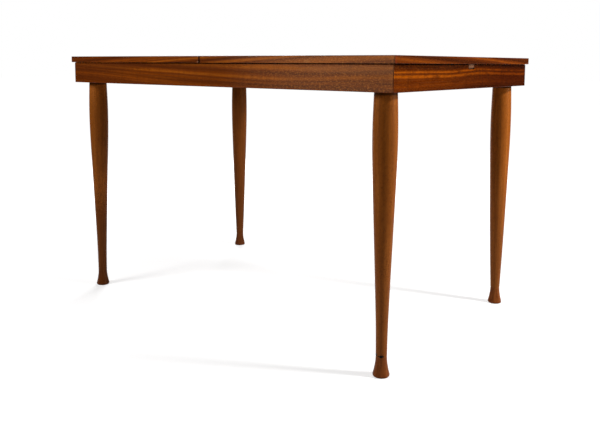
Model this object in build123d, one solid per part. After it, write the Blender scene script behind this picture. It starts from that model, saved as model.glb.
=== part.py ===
"""Extending dining table with a divided top.

A fixed frame of four mitred aprons stands on four turned legs with separate flared feet. The top is two
veneered halves with solid lippings. Each half slides outwards on grooved bars that ride on runners inside
the long aprons, and a bare guide bar along its middle runs through a notch in the end apron, where its end
shows. A folding leaf for the gap lies on bearers in the well between the aprons.

Millimetres. X runs along the table, Y across it and Z up. The origin is on the floor, under the middle.
"""

import os

from build123d import *

# Overall sizes
HEIGHT = 752.0
TOP_LENGTH = 1200.0
TOP_WIDTH = 774.0

# Divided top
TOP_THICKNESS = 18.0
MEETING_GAP = 3.0
MEETING_OFFSET = -8.0
LIPPING_WIDTH = 6.0
ARRIS_RADIUS = 1.0
LEAF_LENGTH = 400.0

# Frame
OVERHANG = 7.0
TOP_CLEARANCE = 2.0
APRON_HEIGHT = 62.0
APRON_THICKNESS = 20.0
BLOCK_SIZE = 78.0
BLOCK_HEIGHT = 42.0
BLOCK_CHAMFER = 14.0

# Turned legs and feet: the leg's radius is given at its top, swell, knee, calf, ankle and foot joint
LEG_INSET = 50.0
LEG_TOP_RADIUS = 27.0
LEG_SWELL_RADIUS = 29.4
LEG_SWELL_BELOW_TOP = 88.0
LEG_KNEE_RADIUS = 25.6
LEG_KNEE_BELOW_TOP = 248.0
LEG_CALF_RADIUS = 17.5
LEG_CALF_ABOVE_FOOT = 162.0
LEG_ANKLE_RADIUS = 13.9
LEG_ANKLE_ABOVE_FOOT = 42.0
BACK_KNEE_FULLER = 1.3
BACK_CALF_FULLER = 2.6
BACK_ANKLE_FULLER = 1.4
FOOT_JOINT_RADIUS = 13.5
FOOT_HEIGHT = 48.0
FOOT_FLARE_RADIUS = 20.0
FOOT_FLARE_HEIGHT = 5.5
FOOT_FLARE_SLOPE = 4.0
FOOT_SOLE_RADIUS = 18.0

# Runners, slide bars and glide strips
RUNNER_WIDTH = 12.0
RUNNER_HEIGHT = 12.0
RUNNER_END_GAP = 2.0
SLIDE_WIDTH = 28.0
SLIDE_HEIGHT = 32.0
SLIDE_SIDE_GAP = 2.0
SLIDE_MIDDLE_GAP = 10.0
SLIDE_CLEARANCE = 0.5
STOP_CLEARANCE = 5.0
GLIDE_WIDTH = 14.0
GLIDE_SETBACK = 3.0
GLIDE_CLEARANCE = 0.3

# Centre guide bars
GUIDE_WIDTH = 32.0
GUIDE_OFFSET = 7.0
GUIDE_HEIGHT = 13.5
GUIDE_CHAMFER = 4.0
GUIDE_CLEARANCE = 0.5
GUIDE_LEAF_GAP = 5.0

# Folding leaf in its well
LEAF_CLEARANCE = 2.0
BEARER_WIDTH = 40.0
BEARER_THICKNESS = 18.0
BEARER_SPACING = 280.0
HINGE_LENGTH = 50.0
HINGE_WIDTH = 25.0
HINGE_PLATE = 1.5
HINGE_KNUCKLE_RADIUS = 3.0
HINGE_PIN_RADIUS = 1.5
HINGE_SPACING = 240.0
SPACER_RADIUS = 8.0
SPACER_SPACING = 300.0
SPACER_EDGE = 40.0
STOP_WIDTH = 30.0
STOP_DEPTH = 15.0
STOP_HEIGHT = 11.0
STOP_GAP = 2.0

# Dowels and fasteners
FIT_CLEARANCE = 0.05
MOVING_CLEARANCE = 0.3
LOCATING_DOWEL_RADIUS = 4.0
LOCATING_DOWEL_LENGTH = 24.0
LOCATING_DOWEL_PLACES = (110.0, 300.0)
BEARER_DOWEL_RADIUS = 4.0
BEARER_DOWEL_LENGTH = 30.0
BEARER_DOWEL_DEPTH = 12.0
BEARER_DOWEL_SPACING = 20.0
FOOT_DOWEL_RADIUS = 5.0
FOOT_DOWEL_LENGTH = 40.0
LEG_BOLT_RADIUS = 4.0
LEG_BOLT_DEPTH = 45.0
LEG_BOLT_PROUD = 3.5
WASHER_RADIUS = 12.0
WASHER_THICKNESS = 2.0
NUT_ACROSS_FLATS = 13.0
NUT_HEIGHT = 6.5
SCREW_RADIUS = 2.0
SCREW_HEAD_RADIUS = 4.0
SCREW_GRIP = 12.0
SMALL_SCREW_RADIUS = 1.2
SMALL_SCREW_HEAD_RADIUS = 2.4
SMALL_SCREW_GRIP = 9.0
RUNNER_SCREWS = 4
SLIDE_SCREWS = 3
GUIDE_SCREWS = 3
BLOCK_SCREW_SEAT = 22.0
BLOCK_SCREW_SETBACK = 60.0
BLOCK_SCREW_SPACING = 20.0
COUNTERBORE_RADIUS = 5.0

# Heights and faces that follow from the sizes above
UNDERSIDE = HEIGHT - TOP_THICKNESS
APRON_TOP = UNDERSIDE - TOP_CLEARANCE
APRON_BOTTOM = APRON_TOP - APRON_HEIGHT
FRAME_X = TOP_LENGTH / 2 - OVERHANG
FRAME_Y = TOP_WIDTH / 2 - OVERHANG
INNER_X = FRAME_X - APRON_THICKNESS
INNER_Y = FRAME_Y - APRON_THICKNESS
TRAVEL = LEAF_LENGTH / 2
LEG_X = FRAME_X - LEG_INSET
LEG_Y = FRAME_Y - LEG_INSET
BLOCK_FACE_X = INNER_X - BLOCK_SIZE
BLOCK_TOP = APRON_BOTTOM + BLOCK_HEIGHT

# Slide bars end where full draw brings them just short of the corner blocks
SLIDE_OUTER_END = BLOCK_FACE_X - STOP_CLEARANCE - TRAVEL
SLIDE_Y = INNER_Y - SLIDE_SIDE_GAP
SLIDE_BOTTOM = UNDERSIDE - SLIDE_HEIGHT
RUNNER_Z = UNDERSIDE - SLIDE_HEIGHT / 2
RUNNER_LENGTH = 2 * (BLOCK_FACE_X - RUNNER_END_GAP)
SLIDE_GROOVE = RUNNER_WIDTH + SLIDE_CLEARANCE - SLIDE_SIDE_GAP
SLIDE_SCREW_Y = SLIDE_Y - (SLIDE_WIDTH + SLIDE_GROOVE) / 2

# Guide bars end flush with the frame outside, and inside just short of the leaf's dowels
GUIDE_BOTTOM = UNDERSIDE - GUIDE_HEIGHT
GUIDE_INNER_END = LEAF_LENGTH / 2 + LOCATING_DOWEL_LENGTH / 2 + GUIDE_LEAF_GAP
GUIDE_LENGTH = FRAME_X - GUIDE_INNER_END
NOTCH_HALF_WIDTH = GUIDE_WIDTH / 2 + GUIDE_CLEARANCE

# The folded leaf lies with its fold along X, its two undersides facing each other
LEAF_HALF_WIDTH = TOP_WIDTH / 2
FOLD_Y = LEAF_HALF_WIDTH / 2
LEAF_EDGE_Y = FOLD_Y - LEAF_HALF_WIDTH
LEAF_UPPER_TOP = UNDERSIDE - LEAF_CLEARANCE
LEAF_UPPER_BOTTOM = LEAF_UPPER_TOP - TOP_THICKNESS
FOLD_Z = LEAF_UPPER_BOTTOM - HINGE_PLATE
LEAF_LOWER_TOP = FOLD_Z - HINGE_PLATE
LEAF_LOWER_BOTTOM = LEAF_LOWER_TOP - TOP_THICKNESS

CORNERS = {"front_left": (-1, -1), "front_right": (1, -1), "back_left": (-1, 1), "back_right": (1, 1)}
ENDS = {"left": -1, "right": 1}
SIDES = {"front": -1, "back": 1}


def save(name, *solids):
    """Writes one node: a single solid, or several identical ones as a group."""
    pieces = [piece for solid in solids for piece in solid.solids()]
    export_step(pieces[0] if len(pieces) == 1 else Compound(pieces), f"parts/{name}.step")


def block(x0, x1, y0, y1, z0, z1):
    """A rectangular block between two corners."""
    return Pos((x0 + x1) / 2, (y0 + y1) / 2, (z0 + z1) / 2) * Box(abs(x1 - x0), abs(y1 - y0), z1 - z0)


def turned(*edges):
    """A solid turned about Z from an outline given as radius and height."""
    return revolve(Plane.XZ * make_face(list(edges)), Axis.Z)


def rod(radius, length, x, y, z, direction):
    """A round bar that starts at a point and runs along a direction."""
    start = Plane(origin=(x, y, z), z_dir=direction)
    return start * Cylinder(radius, length, align=(Align.CENTER, Align.CENTER, Align.MIN))


def wood_screw(length, radius, head_radius):
    """A countersunk screw that points down, with the top of its head at the origin."""
    taper = head_radius - radius
    outline = Polyline(
        (0, 0), (head_radius, 0), (radius, -taper), (radius, taper - length), (0, -length), close=True
    )
    return turned(outline)


def spread(count, length):
    """The middles of equal shares of a length."""
    return [length * (i + 0.5) / count for i in range(count)]


def screws_and_holes(length, radius, head_radius, places):
    """Screws at a list of locations, and the holes that they need."""
    screw = wood_screw(length, radius, head_radius)
    hole = wood_screw(length + FIT_CLEARANCE, radius + FIT_CLEARANCE, head_radius + FIT_CLEARANCE)
    return [place * screw for place in places], [place * hole for place in places]


def mitred_board(x0, x1, thickness, z0, z1, mitre_start=1, mitre_end=1):
    """A board along X with its outer face at y = 0, mitred at 45 degrees where a mitre is 1."""
    outline = Polyline(
        (x0, 0), (x1, 0), (x1 - mitre_end * thickness, thickness), (x0 + mitre_start * thickness, thickness),
        close=True,
    )
    board = Pos(0, 0, z0) * extrude(make_face(outline), z1 - z0)
    arrises = board.edges().filter_by(Axis.X).group_by(Axis.Y)[0]
    return fillet(arrises, ARRIS_RADIUS)


def plain_leg(knee_radius, calf_radius, ankle_radius):
    """A turned leg without its holes: it swells below its top and tapers to a slim ankle."""
    leg_side = Spline(
        (FOOT_JOINT_RADIUS, FOOT_HEIGHT),
        (ankle_radius, FOOT_HEIGHT + LEG_ANKLE_ABOVE_FOOT),
        (calf_radius, FOOT_HEIGHT + LEG_CALF_ABOVE_FOOT),
        (knee_radius, APRON_BOTTOM - LEG_KNEE_BELOW_TOP),
        (LEG_SWELL_RADIUS, APRON_BOTTOM - LEG_SWELL_BELOW_TOP),
        (LEG_TOP_RADIUS, APRON_BOTTOM),
    )
    leg_rest = Polyline(
        (LEG_TOP_RADIUS, APRON_BOTTOM), (0, APRON_BOTTOM), (0, FOOT_HEIGHT), (FOOT_JOINT_RADIUS, FOOT_HEIGHT)
    )
    return turned(leg_side, leg_rest)


def make_legs():
    """Four turned legs, the back pair a little fuller below the knee. A flared foot is dowelled on each."""
    front_leg = plain_leg(LEG_KNEE_RADIUS, LEG_CALF_RADIUS, LEG_ANKLE_RADIUS)
    back_leg = plain_leg(
        LEG_KNEE_RADIUS + BACK_KNEE_FULLER,
        LEG_CALF_RADIUS + BACK_CALF_FULLER,
        LEG_ANKLE_RADIUS + BACK_ANKLE_FULLER,
    )
    flare = Spline(
        (FOOT_JOINT_RADIUS, FOOT_HEIGHT),
        (FOOT_FLARE_RADIUS, FOOT_FLARE_HEIGHT),
        tangents=[(0, -1), (1, -FOOT_FLARE_SLOPE)],
    )
    sole_edge = TangentArc(
        (FOOT_FLARE_RADIUS, FOOT_FLARE_HEIGHT), (FOOT_SOLE_RADIUS, 0), tangent=flare % 1
    )
    foot_rest = Polyline((FOOT_SOLE_RADIUS, 0), (0, 0), (0, FOOT_HEIGHT), (FOOT_JOINT_RADIUS, FOOT_HEIGHT))
    half_dowel = FOOT_DOWEL_LENGTH / 2
    dowel = rod(FOOT_DOWEL_RADIUS, FOOT_DOWEL_LENGTH, 0, 0, FOOT_HEIGHT - half_dowel, (0, 0, 1))
    dowel_hole = rod(
        FOOT_DOWEL_RADIUS + FIT_CLEARANCE, FOOT_DOWEL_LENGTH, 0, 0, FOOT_HEIGHT - half_dowel, (0, 0, 1)
    )
    bolt_hole = rod(LEG_BOLT_RADIUS + FIT_CLEARANCE, LEG_BOLT_DEPTH, 0, 0, APRON_BOTTOM, (0, 0, -1))
    foot = turned(flare, sole_edge, foot_rest) - dowel_hole
    places = {name: Pos(sx * LEG_X, sy * LEG_Y, 0) for name, (sx, sy) in CORNERS.items()}
    for name, place in places.items():
        leg = back_leg if name.startswith("back") else front_leg
        save(f"leg_{name}", place * (leg - [dowel_hole, bolt_hole]))
        save(f"foot_{name}", place * foot)
    save("foot_dowels", *[place * dowel for place in places.values()])
    make_leg_bolts(places.values())


def make_leg_bolts(places):
    """A bolt stands out of each leg's top, through the corner block, under a washer and a nut."""
    washer_top = BLOCK_TOP + WASHER_THICKNESS
    nut_top = washer_top + NUT_HEIGHT
    bolt_bottom = APRON_BOTTOM - LEG_BOLT_DEPTH
    bolt = rod(LEG_BOLT_RADIUS, nut_top + LEG_BOLT_PROUD - bolt_bottom, 0, 0, bolt_bottom, (0, 0, 1))
    hole = rod(LEG_BOLT_RADIUS + FIT_CLEARANCE, NUT_HEIGHT + WASHER_THICKNESS, 0, 0, BLOCK_TOP, (0, 0, 1))
    washer = rod(WASHER_RADIUS, WASHER_THICKNESS, 0, 0, BLOCK_TOP, (0, 0, 1)) - hole
    hexagon = RegularPolygon(NUT_ACROSS_FLATS / 2, 6, major_radius=False)
    nut = Pos(0, 0, washer_top) * extrude(hexagon, NUT_HEIGHT) - hole
    for name, piece in {"leg_bolts": bolt, "leg_washers": washer, "leg_nuts": nut}.items():
        save(name, *[place * piece for place in places])


def block_screw_places():
    """Two screws hold each corner block, one into each apron, one above the other so that they pass."""
    middle = APRON_BOTTOM + BLOCK_HEIGHT / 2
    places = []
    for sx, sy in CORNERS.values():
        x, y = INNER_X - BLOCK_SCREW_SETBACK, INNER_Y - BLOCK_SCREW_SETBACK
        upper, lower = middle + BLOCK_SCREW_SPACING / 2, middle - BLOCK_SCREW_SPACING / 2
        places.append(Location((sx * (INNER_X - BLOCK_SCREW_SEAT), sy * y, upper), (0, -sx * 90, 0)))
        places.append(Location((sx * x, sy * (INNER_Y - BLOCK_SCREW_SEAT), lower), (sy * 90, 0, 0)))
    return places


def make_corner_blocks(screw_holes):
    """Blocks in the corners of the frame carry the legs."""
    counterbore = rod(COUNTERBORE_RADIUS, BLOCK_SIZE, 0, 0, 0, (0, 0, 1))
    bores = [place * counterbore for place in block_screw_places()]
    for name, (sx, sy) in CORNERS.items():
        body = block(
            sx * BLOCK_FACE_X, sx * INNER_X, sy * (INNER_Y - BLOCK_SIZE), sy * INNER_Y,
            APRON_BOTTOM, BLOCK_TOP,
        )
        inner_edge = body.edges().filter_by(Axis.Z).sort_by_distance((0, 0, body.center().Z))[0]
        body = chamfer(inner_edge, BLOCK_CHAMFER)
        bolt_hole = rod(
            LEG_BOLT_RADIUS + FIT_CLEARANCE, BLOCK_HEIGHT, sx * LEG_X, sy * LEG_Y, APRON_BOTTOM, (0, 0, 1)
        )
        save(f"corner_block_{name}", body - [bolt_hole, *screw_holes, *bores])


def bearer_dowels(radius):
    """Dowels that join the ends of the leaf bearers to the long aprons."""
    in_bearer = BEARER_DOWEL_LENGTH - BEARER_DOWEL_DEPTH
    z = LEAF_LOWER_BOTTOM - BEARER_THICKNESS / 2
    return [
        rod(radius, BEARER_DOWEL_LENGTH, ex * BEARER_SPACING / 2 + dx * BEARER_DOWEL_SPACING / 2,
            sy * (INNER_Y - in_bearer), z, (0, sy, 0))
        for ex in (-1, 1) for sy in (-1, 1) for dx in (-1, 1)
    ]


def runner_screw_places():
    """Screws through each runner into the apron behind it, evenly spaced."""
    start = -RUNNER_LENGTH / 2
    face = INNER_Y - RUNNER_WIDTH
    return [
        Location((start + along, sy * face, RUNNER_Z), (sy * 90, 0, 0))
        for sy in (-1, 1) for along in spread(RUNNER_SCREWS, RUNNER_LENGTH)
    ]


def make_frame():
    """Four aprons with mitred corners, notched at the ends for the guide bars."""
    block_screw_length = BLOCK_SCREW_SEAT + SCREW_GRIP
    block_screws, block_holes = screws_and_holes(
        block_screw_length, SCREW_RADIUS, SCREW_HEAD_RADIUS, block_screw_places()
    )
    runner_screws, runner_holes = screws_and_holes(
        RUNNER_WIDTH + SCREW_GRIP, SCREW_RADIUS, SCREW_HEAD_RADIUS, runner_screw_places()
    )
    dowel_holes = bearer_dowels(BEARER_DOWEL_RADIUS + FIT_CLEARANCE)
    long_apron = mitred_board(-FRAME_X, FRAME_X, APRON_THICKNESS, APRON_BOTTOM, APRON_TOP)
    end_apron = mitred_board(-FRAME_Y, FRAME_Y, APRON_THICKNESS, APRON_BOTTOM, APRON_TOP)
    for name, sy in SIDES.items():
        placed = Rot(0, 0, 90 + 90 * sy) * Pos(0, -FRAME_Y, 0) * long_apron
        save(f"apron_{name}", placed - [*block_holes, *runner_holes, *dowel_holes])
    for name, sx in ENDS.items():
        placed = Rot(0, 0, 90 * sx) * Pos(0, -FRAME_X, 0) * end_apron
        notch = block(
            sx * INNER_X, sx * FRAME_X, GUIDE_OFFSET - NOTCH_HALF_WIDTH, GUIDE_OFFSET + NOTCH_HALF_WIDTH,
            GUIDE_BOTTOM - GUIDE_CLEARANCE, UNDERSIDE,
        )
        save(f"apron_{name}", placed - [notch, *block_holes])
    save("corner_block_screws", *block_screws)
    make_corner_blocks(block_holes)
    make_runners(runner_screws, runner_holes)
    make_glide_strips()
    make_bearers(dowel_holes)


def make_runners(screws, screw_holes):
    """Runners on the inner faces of the long aprons carry the slide bars."""
    half = RUNNER_LENGTH / 2
    for name, sy in SIDES.items():
        runner = block(
            -half, half, sy * (INNER_Y - RUNNER_WIDTH), sy * INNER_Y,
            RUNNER_Z - RUNNER_HEIGHT / 2, RUNNER_Z + RUNNER_HEIGHT / 2,
        )
        save(f"runner_{name}", runner - screw_holes)
    save("runner_screws", *screws)


def make_glide_strips():
    """Strips on the aprons fill the gap below the top. Those on the end aprons stop at the notch."""
    outer_x, outer_y = FRAME_X - GLIDE_SETBACK, FRAME_Y - GLIDE_SETBACK
    inner_x, inner_y = outer_x - GLIDE_WIDTH, outer_y - GLIDE_WIDTH
    heights = APRON_TOP, UNDERSIDE - GLIDE_CLEARANCE
    long_strips = [block(-outer_x, outer_x, sy * inner_y, sy * outer_y, *heights) for sy in (-1, 1)]
    save("long_glide_strips", *long_strips)
    end_strips = []
    for sy in (-1, 1):
        notch_face = GUIDE_OFFSET + sy * NOTCH_HALF_WIDTH
        for sx in (-1, 1):
            end_strips.append(block(sx * inner_x, sx * outer_x, notch_face, sy * inner_y, *heights))
    save("end_glide_strips", *end_strips)


def make_bearers(dowel_holes):
    """Two bearers cross the well under the folded leaf."""
    for name, ex in ENDS.items():
        middle = ex * BEARER_SPACING / 2
        bearer = block(
            middle - BEARER_WIDTH / 2, middle + BEARER_WIDTH / 2, -INNER_Y, INNER_Y,
            LEAF_LOWER_BOTTOM - BEARER_THICKNESS, LEAF_LOWER_BOTTOM,
        )
        save(f"leaf_bearer_{name}", bearer - dowel_holes)
    save("bearer_dowels", *bearer_dowels(BEARER_DOWEL_RADIUS))
    stop_face = FOLD_Y + STOP_GAP
    stops = [
        block(ex * BEARER_SPACING / 2 - STOP_WIDTH / 2, ex * BEARER_SPACING / 2 + STOP_WIDTH / 2,
              sy * stop_face, sy * (stop_face + STOP_DEPTH),
              LEAF_LOWER_BOTTOM, LEAF_LOWER_BOTTOM + STOP_HEIGHT)
        for ex in (-1, 1) for sy in (-1, 1)
    ]
    save("leaf_stops", *stops)


def hinge_screw_places():
    """Two screws hold each hinge plate. Those of the lower plate point down, and of the upper plate up."""
    y = FOLD_Y - HINGE_WIDTH / 2
    return [
        Location((ex * HINGE_SPACING / 2 + dx * HINGE_LENGTH / 3, y, FOLD_Z), (turn, 0, 0))
        for ex in (-1, 1) for dx in (-1, 1) for turn in (0, 180)
    ]


def hinge_plates(screw_holes):
    """Butt hinges: the lower plate has the two outer knuckles and the upper plate the middle one."""
    knuckle = HINGE_LENGTH / 3
    play = MOVING_CLEARANCE
    plates = []
    for ex in (-1, 1):
        x0 = ex * HINGE_SPACING / 2 - HINGE_LENGTH / 2
        pin_hole = rod(HINGE_PIN_RADIUS + FIT_CLEARANCE, HINGE_LENGTH, x0, FOLD_Y, FOLD_Z, (1, 0, 0))
        knuckles = [
            rod(HINGE_KNUCKLE_RADIUS, knuckle - play, x0 + i * knuckle + play / 2, FOLD_Y, FOLD_Z, (1, 0, 0))
            for i in range(3)
        ]
        rooms = [
            rod(HINGE_KNUCKLE_RADIUS + play, knuckle + play, x0 + i * knuckle - play / 2,
                FOLD_Y, FOLD_Z, (1, 0, 0))
            for i in range(3)
        ]
        leaf_x = (x0 + play / 2, x0 + HINGE_LENGTH - play / 2)
        lower = block(*leaf_x, FOLD_Y - HINGE_WIDTH, FOLD_Y, LEAF_LOWER_TOP, FOLD_Z)
        upper = block(*leaf_x, FOLD_Y - HINGE_WIDTH, FOLD_Y, FOLD_Z, LEAF_UPPER_BOTTOM)
        plates.append(lower - rooms[1] + knuckles[0] + knuckles[2] - [pin_hole, *screw_holes])
        plates.append(upper - rooms[0] - rooms[2] + knuckles[1] - [pin_hole, *screw_holes])
    return plates


def make_leaf():
    """The leaf is two boards hinged on their undersides and folded together, kept apart by spacers."""
    screws, screw_holes = screws_and_holes(
        HINGE_PLATE + SMALL_SCREW_GRIP, SMALL_SCREW_RADIUS, SMALL_SCREW_HEAD_RADIUS, hinge_screw_places()
    )
    knuckle_rooms = [
        rod(HINGE_KNUCKLE_RADIUS + MOVING_CLEARANCE, HINGE_LENGTH, ex * HINGE_SPACING / 2 - HINGE_LENGTH / 2,
            FOLD_Y, FOLD_Z, (1, 0, 0))
        for ex in (-1, 1)
    ]
    half_length = LEAF_LENGTH / 2
    inside = LOCATING_DOWEL_LENGTH / 2
    socket_depth = inside + FIT_CLEARANCE
    levels = {"lower": LEAF_LOWER_BOTTOM, "upper": LEAF_UPPER_BOTTOM}
    dowels = []
    for name, bottom in levels.items():
        board = block(
            -half_length, half_length, LEAF_EDGE_Y + LIPPING_WIDTH, FOLD_Y, bottom, bottom + TOP_THICKNESS
        )
        lipping = mitred_board(
            -half_length, half_length, LIPPING_WIDTH, bottom, bottom + TOP_THICKNESS,
            mitre_start=0, mitre_end=0,
        )
        save(f"leaf_lipping_{name}", Pos(0, LEAF_EDGE_Y, 0) * lipping)
        z = bottom + TOP_THICKNESS / 2
        places = [FOLD_Y - place for place in LOCATING_DOWEL_PLACES]
        fixed = [
            rod(LOCATING_DOWEL_RADIUS, LOCATING_DOWEL_LENGTH, half_length - inside, y, z, (1, 0, 0))
            for y in places
        ]
        fixed_holes = [
            rod(LOCATING_DOWEL_RADIUS + FIT_CLEARANCE, inside, half_length, y, z, (-1, 0, 0)) for y in places
        ]
        sockets = [
            rod(LOCATING_DOWEL_RADIUS + MOVING_CLEARANCE, socket_depth, -half_length, y, z, (1, 0, 0))
            for y in places
        ]
        dowels += fixed
        save(f"leaf_half_{name}", board - [*knuckle_rooms, *screw_holes, *fixed_holes, *sockets])
    pins = [
        rod(HINGE_PIN_RADIUS, HINGE_LENGTH, ex * HINGE_SPACING / 2 - HINGE_LENGTH / 2,
            FOLD_Y, FOLD_Z, (1, 0, 0))
        for ex in (-1, 1)
    ]
    spacer_y = LEAF_EDGE_Y + SPACER_EDGE
    spacers = [
        rod(SPACER_RADIUS, 2 * HINGE_PLATE, ex * SPACER_SPACING / 2, spacer_y, LEAF_LOWER_TOP, (0, 0, 1))
        for ex in (-1, 1)
    ]
    save("leaf_dowels", *dowels)
    save("leaf_hinge_plates", *hinge_plates(screw_holes))
    save("leaf_hinge_pins", *pins)
    save("leaf_hinge_screws", *screws)
    save("leaf_spacers", *spacers)


def slide_ends(sx):
    """The inner and outer end of the slide bars of one half."""
    return MEETING_OFFSET + sx * SLIDE_MIDDLE_GAP / 2, sx * SLIDE_OUTER_END


def slide_screw_places(sx):
    """Three screws up through each slide bar into the half that it carries."""
    inner, outer = slide_ends(sx)
    return [
        Location((inner + along, sy * SLIDE_SCREW_Y, SLIDE_BOTTOM), (180, 0, 0))
        for sy in (-1, 1) for along in spread(SLIDE_SCREWS, outer - inner)
    ]


def make_guide_bar(end, sx):
    """The bar along the middle of a half. Returns the holes that its screws need in the panel."""
    places = [
        Location((sx * (GUIDE_INNER_END + along), GUIDE_OFFSET, GUIDE_BOTTOM), (180, 0, 0))
        for along in spread(GUIDE_SCREWS, GUIDE_LENGTH)
    ]
    screws, holes = screws_and_holes(GUIDE_HEIGHT + SCREW_GRIP, SCREW_RADIUS, SCREW_HEAD_RADIUS, places)
    front, back = GUIDE_OFFSET - GUIDE_WIDTH / 2, GUIDE_OFFSET + GUIDE_WIDTH / 2
    bar = block(sx * GUIDE_INNER_END, sx * FRAME_X, front, back, GUIDE_BOTTOM, UNDERSIDE)
    end_edge = bar.edges().filter_by(Axis.Y).sort_by_distance((sx * FRAME_X, GUIDE_OFFSET, GUIDE_BOTTOM))[0]
    save(f"guide_bar_{end}", chamfer(end_edge, GUIDE_CHAMFER) - holes)
    save(f"guide_screws_{end}", *screws)
    return holes


def make_slide_bars(end, sx, screw_holes):
    """Grooved bars under each half, one on each runner."""
    x0, x1 = slide_ends(sx)
    groove_half = RUNNER_HEIGHT / 2 + SLIDE_CLEARANCE
    for side, sy in SIDES.items():
        bar = block(x0, x1, sy * (SLIDE_Y - SLIDE_WIDTH), sy * SLIDE_Y, SLIDE_BOTTOM, UNDERSIDE)
        groove = block(
            x0, x1, sy * (SLIDE_Y - SLIDE_GROOVE), sy * SLIDE_Y,
            RUNNER_Z - groove_half, RUNNER_Z + groove_half,
        )
        save(f"slide_bar_{end}_{side}", bar - [groove, *screw_holes])


def make_top_half(end, sx):
    """A veneered panel with lippings on its four edges, mitred at the outer corners."""
    outer_x, outer_y = TOP_LENGTH / 2, TOP_WIDTH / 2
    panel_y = outer_y - LIPPING_WIDTH
    meeting_x = MEETING_OFFSET + sx * MEETING_GAP / 2
    panel_start = meeting_x + sx * LIPPING_WIDTH
    panel = block(panel_start, sx * (outer_x - LIPPING_WIDTH), -panel_y, panel_y, UNDERSIDE, HEIGHT)
    meeting_strip = block(meeting_x, panel_start, -panel_y, panel_y, UNDERSIDE, HEIGHT)
    screws, screw_holes = screws_and_holes(
        SLIDE_HEIGHT + SCREW_GRIP, SCREW_RADIUS, SCREW_HEAD_RADIUS, slide_screw_places(sx)
    )
    inside = LOCATING_DOWEL_LENGTH / 2
    z = UNDERSIDE + TOP_THICKNESS / 2
    places = [sy * place for sy in (-1, 1) for place in LOCATING_DOWEL_PLACES]
    hole_radius = LOCATING_DOWEL_RADIUS + (FIT_CLEARANCE if sx < 0 else MOVING_CLEARANCE)
    dowel_holes = [rod(hole_radius, inside, meeting_x, y, z, (sx, 0, 0)) for y in places]
    if sx < 0:
        dowels = [
            rod(LOCATING_DOWEL_RADIUS, LOCATING_DOWEL_LENGTH, meeting_x - inside, y, z, (1, 0, 0))
            for y in places
        ]
        save("locating_dowels", *dowels)
    guide_holes = make_guide_bar(end, sx)
    save(f"top_panel_{end}", panel - [*screw_holes, *guide_holes, *dowel_holes])
    save(f"lipping_{end}_meeting", meeting_strip - [*screw_holes, *dowel_holes])
    save(f"slide_screws_{end}", *screws)
    make_slide_bars(end, sx, screw_holes)
    end_strip = mitred_board(-outer_y, outer_y, LIPPING_WIDTH, UNDERSIDE, HEIGHT)
    save(f"lipping_{end}_end", Rot(0, 0, 90 * sx) * Pos(0, -outer_x, 0) * end_strip)
    meeting, corner = sx * meeting_x, outer_x
    right_strip = mitred_board(meeting, corner, LIPPING_WIDTH, UNDERSIDE, HEIGHT, mitre_start=0)
    left_strip = mitred_board(-corner, -meeting, LIPPING_WIDTH, UNDERSIDE, HEIGHT, mitre_end=0)
    front, back = (right_strip, left_strip) if sx > 0 else (left_strip, right_strip)
    save(f"lipping_{end}_front", Pos(0, -outer_y, 0) * front)
    save(f"lipping_{end}_back", Rot(0, 0, 180) * Pos(0, -outer_y, 0) * back)


os.makedirs("parts", exist_ok=True)
make_legs()
make_frame()
make_leaf()
for end_name, end_sign in ENDS.items():
    make_top_half(end_name, end_sign)
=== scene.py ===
# %% [markdown]
# # An extending dining table in figured hardwood
#
# This lesson dresses a table that was drawn in CAD. The CAD nodes give every size and place. Here they get
# their woods, and the turned legs and feet are made again as smooth surfaces, because the light runs along
# a round leg and shows every flat facet. The glide strips under the top are made again too, with the round
# back that they wear to. All lengths are in metres, and the floor is at zero.

# %% Load the frame
import math

import bpy
import numpy as np
from mathutils import Euler, Matrix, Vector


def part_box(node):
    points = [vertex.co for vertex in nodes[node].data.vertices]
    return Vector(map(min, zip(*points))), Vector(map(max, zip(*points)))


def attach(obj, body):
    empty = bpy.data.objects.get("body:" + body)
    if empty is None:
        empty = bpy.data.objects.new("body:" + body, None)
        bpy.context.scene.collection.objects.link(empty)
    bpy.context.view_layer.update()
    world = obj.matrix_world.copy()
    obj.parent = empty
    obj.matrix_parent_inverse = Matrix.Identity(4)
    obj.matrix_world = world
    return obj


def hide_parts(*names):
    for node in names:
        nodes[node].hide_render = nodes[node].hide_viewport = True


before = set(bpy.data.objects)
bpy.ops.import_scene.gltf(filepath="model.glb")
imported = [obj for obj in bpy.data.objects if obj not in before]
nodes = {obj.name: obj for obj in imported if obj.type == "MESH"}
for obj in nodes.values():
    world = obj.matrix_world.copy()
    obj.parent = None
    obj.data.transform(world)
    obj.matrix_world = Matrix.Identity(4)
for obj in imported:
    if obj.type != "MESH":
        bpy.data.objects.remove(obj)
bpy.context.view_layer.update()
MM = 0.001

# %% [markdown]
# ## Working with shader nodes
#
# A finish is a small network of shader nodes. One helper adds a node, sets its options and then either links
# or sets each input, so that a finish below reads from top to bottom like a recipe. Colours are written as
# the usual 0 to 255 screen values, and turned into the linear values that the renderer works with. Knocks,
# chips and worn edges are laid over a finish last, as lines and spots at given places.


# %% Helpers for finishes
def paint(red, green, blue, stain=(1.0, 1.0, 1.0)):
    """A screen colour as a linear one, through the inverse of the screen's curve, times a stain."""
    channels = np.array([red, green, blue]) / 255.0
    linear = np.where(channels <= 0.04045, channels / 12.92, ((channels + 0.055) / 1.055) ** 2.4)
    return (*(linear * stain).tolist(), 1.0)


def connect(tree, socket, value):
    """Links another node's output to a socket, or sets a plain value on it."""
    if isinstance(value, bpy.types.NodeSocket):
        tree.links.new(value, socket)
    else:
        socket.default_value = value


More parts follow.
